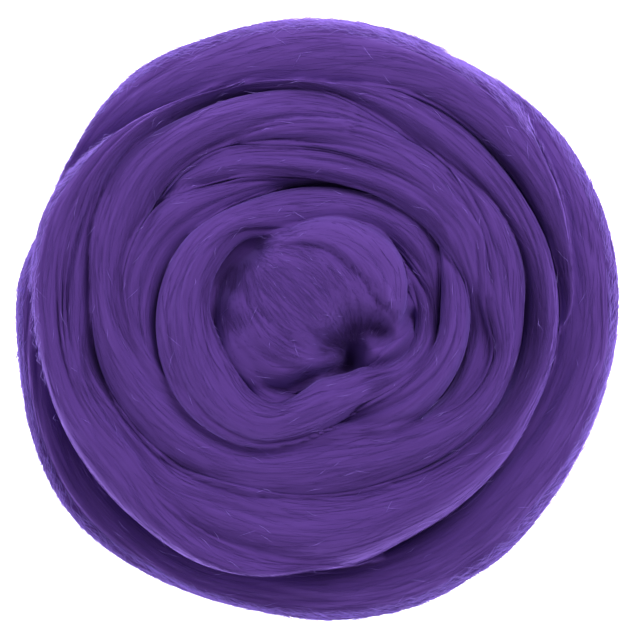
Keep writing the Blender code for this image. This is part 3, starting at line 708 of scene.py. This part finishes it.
# Mounds: the wound middle on top, the core that backs the turns, and the button in the underside.
woundMiddle = {
    "centre": (-2.85, 5.7),
    "middle": 57.0,
    "halfHeight": 21.0,
    "floorDrop": 36.0,  # mm below the middle that a cleft may reach
    "undersideDrop": 4.0,  # mm more, down to its underside
    "squareness": 0.72,
    "softness": 0.25,  # how much of the strand's relief shows here
    "reliefLength": 160.0,  # mm of relief along the fibres
    "fadeAlong": 40.0,  # mm along the fibres to where their relief has faded out
    "fadeRim": 3.0,  # the relief fades out over the last third of the radius
    "across": 100,
    "around": 250,
    "foci": ((-21.5, 20.5), (10.4, -10.0)),  # the notch the fibres come out of, and the pocket they go into
    "fociRadius": 0.2,  # mm, the nearest to them that counts
    "dentsEach": 6,  # strung to each point of a cleft
    "outline": [
        # angle in degrees round the centre, and radius in mm
        (-37, 30.0), (-22, 32.5), (-8, 33.0), (8, 31.5), (29, 30.6), (45, 30.1), (57, 28.1), (75, 25.8),
        (90, 23.5), (112, 24.0), (133, 27.0), (151, 28.5), (168, 30.0), (184, 31.0), (203, 31.5), (222, 32.0),
        (240, 31.0), (262, 28.5), (291, 27.0), (307, 27.0),
    ],
    "dents": [
        # x, y, radius and depth in mm; a negative depth raises the wool
        (10.2, -3.0, 5.6, 9.5), (16.8, -2.8, 4.2, 6.0), (19.5, -4.5, 3.5, 5.0), (6.0, -9.0, 5.2, 10.5),
        (1.5, -8.0, 4.5, 4.0), (-25.0, 10.0, 6.0, 6.0), (-26.0, -1.0, 5.0, 4.0), (12.0, 10.0, 6.5, -1.8),
        (27.3, 0.5, 3.4, 10.0), (27.8, 7.5, 3.2, 9.0), (26.3, 14.3, 2.8, 6.0), (3.0, 16.0, 6.0, -1.5),
    ],
    "clefts": [
        # x, y, radius and depth in mm along each
        [
            # from the pocket to the left
            (11.8, -6.0, 3.2, 4.0), (11.4, -8.6, 3.3, 9.0), (10.4, -11.4, 3.3, 18.0), (9.4, -13.8, 3.2, 21.0),
            (7.2, -15.2, 2.9, 18.0), (4.0, -16.2, 2.6, 14.0), (0.5, -16.8, 2.4, 10.0),
            (-3.0, -18.0, 2.5, 10.0), (-6.0, -19.4, 2.6, 9.0), (-9.8, -20.7, 2.5, 6.0),
            (-14.0, -21.5, 2.6, 4.0), (-18.5, -22.6, 2.6, 2.0), (-22.0, -23.2, 2.4, 2.0),
        ],
        [
            # from the notch down the left side
            (-15.0, 23.5, 2.8, 3.0), (-18.5, 21.5, 3.4, 9.0), (-21.8, 19.0, 3.8, 10.0),
            (-26.2, 14.5, 3.6, 10.0), (-30.0, 8.0, 3.4, 11.0), (-31.0, 0.0, 3.4, 7.0),
            (-30.0, -6.5, 3.0, 3.0),
        ],
    ],
    "creases": [
        # x and y that a crease runs through, its half length, half width and depth, in mm
        (-17.0, 2.0, 4.0, 0.9, 1.2), (-1.5, -4.2, 4.5, 0.9, 1.2), (-7.0, -7.2, 5.0, 0.8, 1.2),
        (-20.5, 4.0, 5.0, 1.1, 1.6), (17.0, 13.0, 7.0, 1.0, 1.2), (4.0, 8.0, 5.0, 0.9, 0.6),
        (-12.0, -13.0, 6.0, 0.9, 1.2), (9.0, 15.0, 6.0, 0.9, 0.5),
    ],
}
woundCore = {
    "radius": 74.0,
    "middle": 30.0,
    "halfHeight": 16.0,
    "squareness": 0.6,
    "groove": 13.0,  # mm from groove to groove
    "depth": 2.0,
    "shoulder": (58.0, 16.0, 18.0),  # its radius, half width and height: where the turns lie on the core
    "across": 60,
    "around": 180,
}
underButton = {
    "radius": 13.0,
    "middle": 7.5,
    "halfHeight": 9.0,
    "squareness": 1.0,
    "groove": 4.0,
    "depth": 0.3,
    "shoulder": (0.0, 1.0, 0.0),
    "across": 24,
    "around": 60,
}


def middleFibres(x, y):
    # Bipolar coordinates: around is the angle in which a point sees the two foci, which is the same all
    # along an arc through both, and along is the logarithm of (its distance to the one / to the other).
    # Both are in mm, by a quarter of the foci's distance.
    (x0, y0), (x1, y1) = woundMiddle["foci"]
    ax, ay, bx, by = x - x0, y - y0, x - x1, y - y1
    scale = math.hypot(x1 - x0, y1 - y0) / 4
    least = woundMiddle["fociRadius"]
    along = np.log(np.maximum(np.hypot(ax, ay), least) / np.maximum(np.hypot(bx, by), least))
    around = np.arctan2(ay * bx - ax * by, ax * bx + ay * by) % (2 * math.pi)
    return along * scale, around * scale


middleGirth = math.hypot(*np.subtract(*woundMiddle["foci"])) / 4 * 2 * math.pi
middleLattices = makeLattices(woundMiddle["reliefLength"], middleGirth)


def middleTop(x, y):
    # middle + halfHeight * cos(polar) ** squareness, where sin(polar) ** squareness is the point's share of
    # the outline, less the dents and the deepest of the dents that each cleft is strung from.
    settings = woundMiddle
    share = middleShare(x, y)
    top = np.full(share.shape, nothing)
    inside = share < 1
    x, y = np.asarray(x)[inside], np.asarray(y)[inside]
    cosine = np.sqrt(1 - share[inside] ** (2 / settings["squareness"]))
    height = settings["middle"] + settings["halfHeight"] * cosine ** settings["squareness"]
    for dent in settings["dents"]:
        height = height - dentDepth(x, y, dent)
    for rows in settings["clefts"]:
        places = np.arange(len(rows))
        stations = np.linspace(0, len(rows) - 1, settings["dentsEach"] * len(rows))
        strung = readRows(np.column_stack([places, rows]), stations)
        deepest = np.zeros(x.shape)
        for dent in strung:
            deepest = np.maximum(deepest, dentDepth(x, y, dent))
        height = height - deepest
    top[inside] = height
    return top


def dentDepth(x, y, dent):
    # depth * exp(-(distance from its middle / radius) squared)
    dentX, dentY, radius, depth = dent
    return depth * np.exp(-((x - dentX) ** 2 + (y - dentY) ** 2) / radius**2)


def middleFloor(share):
    # As deep as a cleft may go: middle - floorDrop * (1 - share ** (2 / squareness)) ** 0.25.
    level = np.clip(1 - share ** (2 / woundMiddle["squareness"]), 0, 1)
    return woundMiddle["middle"] - woundMiddle["floorDrop"] * level**0.25


def middleShare(x, y):
    # distance from the centre / the outline's radius there
    dx, dy = x - woundMiddle["centre"][0], y - woundMiddle["centre"][1]
    return np.hypot(dx, dy) / middleOutline(np.degrees(np.arctan2(dy, dx)))


def middleHeight(x, y):
    # The wound middle's surface: its top, less the creases, with the fibres' relief, melded with the turns.
    settings = woundMiddle
    height = np.maximum(middleTop(x, y), middleFloor(middleShare(x, y)))
    along, around = middleFibres(x, y)
    for creaseX, creaseY, length, width, depth in settings["creases"]:
        there = middleFibres(np.array(creaseX), np.array(creaseY))
        trough = np.exp(-(((along - there[0]) / length) ** 2) - ((around - there[1]) / width) ** 2)
        height = height - depth * trough
    rimFade = settings["fadeRim"] - settings["fadeRim"] * middleShare(x, y)
    fade = np.clip(np.minimum(rimFade, 1 - np.abs(along) / settings["fadeAlong"]), 0, 1)
    relief = reliefHeight(middleLattices, along + settings["reliefLength"] / 2, around / middleGirth)
    height = height + settings["softness"] * fade * relief
    points = np.stack([x, y, height], -1)
    return height + melding(points, np.ones(x.shape), othersTop(points, withMiddle=False))


def middleOutline(degrees):
    # The table is carried on past both its ends by four rows of the next round, so the smooth curve has no
    # kink there.
    rows = woundMiddle["outline"]
    turned = (degrees - rows[0][0]) % 360 + rows[0][0]
    closed = [(a - 360, r) for a, r in rows[-4:]] + rows + [(a + 360, r) for a, r in rows[:4]]
    return readRows(closed, np.ravel(turned))[:, 0].reshape(np.shape(turned))


def middlePiece():
    # The outline's radius * sin(polar) ** squareness across, and up to middleHeight or down to middleFloor.
    settings = woundMiddle
    polar = np.linspace(0, math.pi, settings["across"] + 2)[1:-1, None]
    angle = np.linspace(0, 2 * math.pi, settings["around"], endpoint=False)[None, :]
    radius = middleOutline(np.degrees(angle)) * np.sin(polar) ** settings["squareness"]
    x = settings["centre"][0] + radius * np.cos(angle)
    y = settings["centre"][1] + radius * np.sin(angle)
    below = middleFloor(np.sin(polar) ** settings["squareness"])
    below = below - settings["undersideDrop"] * np.abs(np.cos(polar))
    z = np.where(polar < math.pi / 2, middleHeight(x, y), below)
    along, around = middleFibres(x, y)
    along, around = (np.concatenate([c, c[:, :1]], axis=1) for c in (along, around))
    return closedSurface("woundMiddle", np.stack([x, y, z], -1), along, around, violetWool)


def roundMound(name, settings):
    # radius * sin(polar) ** squareness across and middle + halfHeight * cos(polar) ** squareness up, less
    # spiral grooves, which move out by one groove in each round. The fibres run round the mound.
    across, around = settings["across"], settings["around"]
    polar = np.linspace(0, math.pi, across + 2)[1:-1, None]
    angle = np.linspace(0, 2 * math.pi, around, endpoint=False)[None, :]
    sine = np.sin(polar) ** settings["squareness"]
    cosine = np.sign(np.cos(polar)) * np.abs(np.cos(polar)) ** settings["squareness"]
    down = polar * settings["radius"]
    groove = settings["depth"] * np.cos(math.pi * down / settings["groove"] - angle / 2) ** 4
    lattices = makeLattices(settings["radius"] * math.pi, 2 * math.pi * settings["radius"])
    share = down / (2 * math.pi * settings["radius"])
    relief = reliefHeight(lattices, angle * settings["radius"] / 2, share)
    out = np.sin(polar) * (relief - groove)
    x = (settings["radius"] * sine + out) * np.cos(angle)
    y = (settings["radius"] * sine + out) * np.sin(angle)
    z = settings["middle"] + settings["halfHeight"] * cosine + np.cos(polar) * (relief - groove)
    place, width, height = settings["shoulder"]
    shoulder = height * np.exp(-(((settings["radius"] * sine - place) / width) ** 2))
    z = z + shoulder * np.maximum(np.cos(polar), 0)
    grid = np.stack([x, y, np.maximum(z, 0.0)], -1)
    seamed = np.linspace(0, 2 * math.pi, around + 1)[None, :] * settings["radius"]
    return closedSurface(name, grid, seamed, down, violetWool)


for strand in upperStrands:
    strandPiece(strand, violetWool, turnShape["stationGap"], turnShape["sides"])
strandPiece(curlStrand, violetWool, tuckedCurl["stationGap"], tuckedCurl["sides"])
print("upper turns laid")
middlePiece()
roundMound("woundCore", woundCore)
roundMound("underButton", underButton)
print("mounds raised")


# Loose fibres. What is exposed is found on maps of the ball, with a cell for each mm or degree.
exposure = {
    "half": 110,  # mm from the middle to the sides of the map from above
    "height": 100,  # mm up the map from the side
    "stationGap": 1.0,
    "sides": 72,
    "rimDepth": 9.0,  # mm in from the ball's widest at each bearing, over which the fuzz thins out
    "fuzzyDepth": 3.0,  # mm in from there with all the fuzz
    "rimSlope": 0.75,  # the upward part of the outward direction on what counts as the ball's side
    "clearance": 0.2,  # mm off the floor that every fibre keeps
}


def exposureMaps(strands):
    # The highest point over each square mm seen from above, and the widest over each mm up each bearing.
    top = np.zeros((2 * exposure["half"], 2 * exposure["half"]))
    side = np.zeros((360, exposure["height"]))
    for strand in strands:
        along = np.arange(0, strand["length"], exposure["stationGap"])[:, None]
        angle = np.linspace(0, 2 * math.pi, exposure["sides"])[None, :]
        points = strandPoints(strand, along, angle)[0].reshape(-1, 3)
        column, row, level, bearing, radius = mapPlaces(points)
        np.maximum.at(top, (row, column), points[:, 2])
        np.maximum.at(side, (bearing, level), radius)
    return top, side


def mapPlaces(points):
    # Each point's cell on the two maps: whole mm of x, y and height, and whole degrees round the middle.
    half = exposure["half"]
    column = np.clip((points[..., 0] + half).astype(int), 0, 2 * half - 1)
    row = np.clip((points[..., 1] + half).astype(int), 0, 2 * half - 1)
    level = np.clip(points[..., 2].astype(int), 0, exposure["height"] - 1)
    bearing = (np.degrees(np.arctan2(points[..., 1], points[..., 0])).astype(int)) % 360
    radius = np.hypot(points[..., 0], points[..., 1])
    return column, row, level, bearing, radius


def exposed(points, maps, margin):
    # Within the margin of the top seen from above, or of the widest seen from the side.
    column, row, level, bearing, radius = mapPlaces(points)
    top, side = maps
    fromAbove = points[..., 2] > top[row, column] - margin
    fromSide = radius > side[bearing, level] - margin
    return fromAbove | fromSide


def fibreSpindles(paths, outward, thickness):
    # A point at each end of each path, and between them triangles across it, of radius
    # thickness / 2 * sqrt(sin(pi * share of its length)), with one corner outwards.
    count, stations = paths.shape[:2]
    runs = unit(np.gradient(paths, axis=1))
    across = unit(np.cross(runs, outward))
    upward = np.cross(across, runs)
    t = np.linspace(0, 1, stations)[None, :, None]
    radius = thickness / 2 * np.sqrt(np.sin(math.pi * t) + 1e-6)
    corners = []
    for turn in (math.pi / 2, math.pi * 11 / 6, math.pi * 7 / 6):
        corners.append(paths + radius * (across * math.cos(turn) + upward * math.sin(turn)))
    rings = np.stack(corners, axis=2)[:, 1:-1].reshape(count, -1, 3)
    points = np.concatenate([paths[:, :1], rings, paths[:, -1:]], axis=1)
    perFibre = points.shape[1]
    first = (np.arange(count) * perFibre)[:, None, None]
    column = np.arange(3)[None, None, :]
    following = (column + 1) % 3
    base = first + 1 + (np.arange(stations - 3) * 3)[None, :, None]
    quads = np.stack([base + column, base + following, base + 3 + following, base + 3 + column], -1)
    last = first + perFibre - 1
    tips = np.stack([first + 0 * column, first + 1 + following, first + 1 + column], -1)
    ends = np.stack([last + 0 * column, last - 3 + column, last - 3 + following], -1)
    tips = np.concatenate([tips, ends], axis=2)
    return points.reshape(-1, 3), quads.reshape(-1, 4), tips.reshape(-1, 3)


fibreOverrun = 2.0  # mm past a strand's ends within which fibres still start


def fibresOn(strand, count, settings):
    # Each fibre runs along the strand, drifts round it in proportion to its length, and wavers by a sine. Its
    # lift is an arch, height * sin(pi * t), or a rising end, height * t squared.
    t = np.linspace(0, 1, settings["stations"])[None, :]
    length = rng.uniform(*settings["length"], (count, 1))
    start = rng.uniform(-fibreOverrun, strand["length"] + fibreOverrun, (count, 1))
    angle = rng.uniform(0, 2 * math.pi, (count, 1))
    drift = rng.normal(0, settings["drift"], (count, 1))
    waver = rng.uniform(0, settings["waver"], (count, 1))
    phase = rng.uniform(0, 2 * math.pi, (count, 1))
    size = strand["girth"] / (2 * math.pi)
    along = start + length * (t - 0.5)
    twist = -2 * math.pi * strand["twist"] * length * t / strand["length"]
    around = angle + twist + drift * length * t / size + waver * np.sin(phase + math.pi * t) / size
    height = rng.uniform(*settings["lift"], (count, 1))
    loose = rng.random((count, 1)) < settings["looseShare"]
    lift = np.where(loose, height * t**2, height * np.sin(math.pi * t)) - settings["sunk"]
    along = np.clip(along, 0, strand["length"])
    return strandPoints(strand, along, around, lift)


middleReach = {
    "along": (-2.2, 2.6),  # from focus to focus, as the logarithm of the distances
    "around": (0.9, 5.4),  # radians, the arcs that lie on the middle
    "share": 0.97,  # of the outline, past which no fibre goes
    "upward": 40.0,  # mm that the centre counts as lying below the fibres
    "drift": 2.0,  # times the drift on a strand
}


def fibresOnMiddle(count, settings):
    # Fibres along the arcs of middleFibres. From the two foci's midpoint, forward on their line is
    # half * sinh(along) / (cosh(along) - cos(around)), and across it is half * sin(around) / the same.
    (x0, y0), (x1, y1) = woundMiddle["foci"]
    half = math.hypot(x1 - x0, y1 - y0) / 2
    t = np.linspace(0, 1, settings["stations"])[None, :]
    length = rng.uniform(*settings["length"], (count, 1)) / half
    along = rng.uniform(*middleReach["along"], (count, 1)) + length * (t - 0.5)
    around = rng.uniform(*middleReach["around"], (count, 1))
    drift = rng.normal(0, settings["drift"] * middleReach["drift"], (count, 1))
    around = around + drift * length * t
    waver = rng.uniform(0, settings["waver"], (count, 1))
    phase = rng.uniform(0, 2 * math.pi, (count, 1))
    around = around + waver / half * np.sin(phase + math.pi * t)
    below = np.cosh(along) - np.cos(around)
    forward, across = half * np.sinh(along) / below, half * np.sin(around) / below
    runX, runY = (x1 - x0) / (2 * half), (y1 - y0) / (2 * half)
    x = (x0 + x1) / 2 + forward * runX + across * runY
    y = (y0 + y1) / 2 + forward * runY - across * runX
    height = rng.uniform(*settings["lift"], (count, 1))
    loose = rng.random((count, 1)) < settings["looseShare"]
    lift = np.where(loose, height * t**2, height * np.sin(math.pi * t)) - settings["sunk"]
    upward = np.full(x.shape, middleReach["upward"])
    out = np.stack([x - woundMiddle["centre"][0], y - woundMiddle["centre"][1], upward], -1)
    inside = middleShare(x, y).max(axis=1) < middleReach["share"]
    return np.stack([x, y, middleHeight(x, y) + lift], -1)[inside], unit(out)[inside]


toneSpread = 7.0  # units of the fibre map over which the fibres take their shades


def fibrePieces(name, strands, maps, settings, material, pieceCount=1):
    # Fibres on the middle and on each strand by its share of the surface. Away from the rim innerShare of
    # them stay, and at the rim (rimDepth - distance in from the widest) / (rimDepth - fuzzyDepth).
    total = sum(strand["length"] * strand["girth"] for strand in strands)
    widest = maps[1].max(axis=1)
    rimDepth = exposure["rimDepth"]
    path, normal = fibresOnMiddle(settings["middleTries"], settings)
    paths, normals = [path], [normal]
    for strand in strands:
        count = math.ceil(settings["tries"] * strand["length"] * strand["girth"] / total)
        path, normal = fibresOn(strand, count, settings)
        halfway = path.shape[1] // 2
        seen = path[:, :, 2].min(axis=1) > exposure["clearance"]
        for station in (0, halfway, -1):
            seen = seen & exposed(path[:, station], maps, settings["depth"])
        bearing, radius = mapPlaces(path[:, halfway])[3:]
        stays = (rimDepth - widest[bearing] + radius) / (rimDepth - exposure["fuzzyDepth"])
        stays = np.where(normal[:, halfway, 2] < exposure["rimSlope"], stays, 0)
        seen = seen & (rng.random(len(path)) < np.maximum(stays, settings["innerShare"]))
        paths.append(path[seen])
        normals.append(normal[seen])
    paths, normals = np.concatenate(paths), np.concatenate(normals)
    tones = rng.uniform(0, 1, len(paths))
    for part, chosen in enumerate(np.array_split(np.arange(len(paths)), pieceCount)):
        points, quads, tips = fibreSpindles(paths[chosen], normals[chosen], settings["thickness"])
        uvs = []
        for faces in (quads, tips):
            tone = np.repeat(tones[chosen], len(faces) // len(chosen))[:, None]
            uv = np.stack([tone * toneSpread, tone], -1)  # one place on the map, so one shade, for each fibre
            uvs.append(np.broadcast_to(uv, (len(faces), faces.shape[1], 2)))
        suffix = "" if pieceCount == 1 else str(part + 1)
        putMesh(name + suffix, points, [quads, tips], uvs, material)
    print(name, len(paths))


lyingFibres = {
    "thickness": 0.10,  # mm
    "stations": 5,
    "tries": 42000,  # before those that the wool hides are dropped
    "middleTries": 1800,
    "length": (12.0, 34.0),
    "drift": 0.05,
    "waver": 1.2,
    "lift": (0.02, 0.28),
    "looseShare": 0.0,  # of the fibres have one end free
    "sunk": 0.06,
    "depth": 2.2,  # mm in from the surface that still counts as exposed
    "innerShare": 1.0,  # of the fibres away from the rim stay
}
strayFibres = {
    "thickness": 0.09,
    "stations": 6,
    "tries": 7000,
    "middleTries": 220,
    "length": (9.0, 26.0),
    "drift": 0.12,
    "waver": 2.5,
    "lift": (0.5, 2.6),
    "looseShare": 0.6,
    "sunk": 0.1,
    "depth": 2.2,
    "innerShare": 0.25,
}
# These fibres are kept almost only at the rim, and their paler colour is a painted rim glow: a stand-in for
# light coming through the fuzz at the outline.
fuzz = {
    "thickness": 0.10,
    "stations": 3,
    "tries": 360000,
    "middleTries": 60,
    "length": (3.0, 7.0),
    "drift": 0.4,
    "waver": 0.5,
    "lift": (0.3, 2.0),
    "looseShare": 0.85,
    "sunk": 0.05,
    "depth": 2.5,
    "innerShare": 0.005,
}
# Paler than the wool: painted rim glow, not a colour of the wool itself.
paleFuzzWoolPaintedGlow = dict(wool, shade=(0.24, 0.14, 0.56), body=(0.31, 0.19, 0.70), light=(0.38, 0.25, 0.82))

allStrands = upperStrands + [curlStrand, hiddenStrand]
maps = exposureMaps(allStrands)
fibrePieces("lyingFibres", allStrands, maps, lyingFibres, violetWool, pieceCount=2)
fibrePieces("strayFibres", allStrands, maps, strayFibres, violetWool)
fibrePieces("fuzz", allStrands, maps, fuzz, woolMaterial("paleFuzzPaintedGlow", paleFuzzWoolPaintedGlow), pieceCount=2)


# Floor, light and camera.
studio = {
    "floorColour": (0.95, 0.95, 0.95),
    "floorRoughness": 0.9,
    "floorGlow": 3.6,
    "floorSize": 6.0,  # m
    "skyStrength": 0.62,
    "lights": [
        # name, place and size in m, and power in W
        ("keyLight", (0.7, 0.9, 1.3), 0.8, 28.5),
        ("fillLight", (-1.4, 0.5, 0.6), 0.9, 15.0),
        ("lowLight", (1.2, -1.05, 0.4), 0.7, 7.0),
    ],
}
view = {
    "sensorWidth": 36.0,  # mm
    "distance": 2.4,  # m above the ball's rim
    "rimHeight": 45.0,  # mm
    "frameWidth": 192.0,  # mm that the picture's width takes in at the rim's height
    "centre": (0.75, -0.3),  # mm; the ball's middle is at (317.5, 319) in the picture
}


def makeFloor():
    # One square at z = 0, round the middle.
    half = studio["floorSize"] / 2
    corners = [(-half, -half, 0), (half, -half, 0), (half, half, 0), (-half, half, 0)]
    mesh = bpy.data.meshes.new("floor")
    mesh.from_pydata(corners, [], [(0, 1, 2, 3)])
    pale = bpy.data.materials.new("paleFloor")
    pale.use_nodes = True
    shader = pale.node_tree.nodes["Principled BSDF"]
    shader.inputs["Base Color"].default_value = (*studio["floorColour"], 1)
    shader.inputs["Roughness"].default_value = studio["floorRoughness"]
    shader.inputs["Emission Color"].default_value = (1, 1, 1, 1)
    shader.inputs["Emission Strength"].default_value = studio["floorGlow"]
    mesh.materials.append(pale)
    floor = bpy.data.objects.new("floor", mesh)
    bpy.context.scene.collection.objects.link(floor)


def areaLight(name, place, size, power):
    # Turned to the origin: it tilts by acos(height / distance), and turns to the origin's bearing less 90
    # degrees.
    light = bpy.data.lights.new(name, "AREA")
    light.shape = "SQUARE"
    light.size = size
    light.energy = power
    lamp = bpy.data.objects.new(name, light)
    lamp.location = place
    towards = -np.array(place) / np.linalg.norm(place)
    lamp.rotation_euler = (math.acos(-towards[2]), 0, math.atan2(towards[1], towards[0]) - math.pi / 2)
    bpy.context.scene.collection.objects.link(lamp)


def makeStudio():
    # An even white sky, and the lights.
    world = bpy.data.worlds.new("studioSky")
    world.use_nodes = True
    background = world.node_tree.nodes["Background"]
    background.inputs["Color"].default_value = (1, 1, 1, 1)
    background.inputs["Strength"].default_value = studio["skyStrength"]
    bpy.context.scene.world = world
    for light in studio["lights"]:
        areaLight(*light)
    bpy.context.scene.view_settings.view_transform = "Standard"


def makeCamera():
    # Straight down, +Y up the picture: focal length = sensor width * distance / frame width.
    camera = bpy.data.cameras.new("camera")
    camera.sensor_width = view["sensorWidth"]
    camera.lens = camera.sensor_width * view["distance"] / (view["frameWidth"] * mm)
    holder = bpy.data.objects.new("camera", camera)
    x, y = view["centre"]
    holder.location = (x * mm, y * mm, view["distance"] + view["rimHeight"] * mm)
    bpy.context.scene.collection.objects.link(holder)
    bpy.context.scene.camera = holder


makeFloor()
makeStudio()
makeCamera()
print("studio lit")
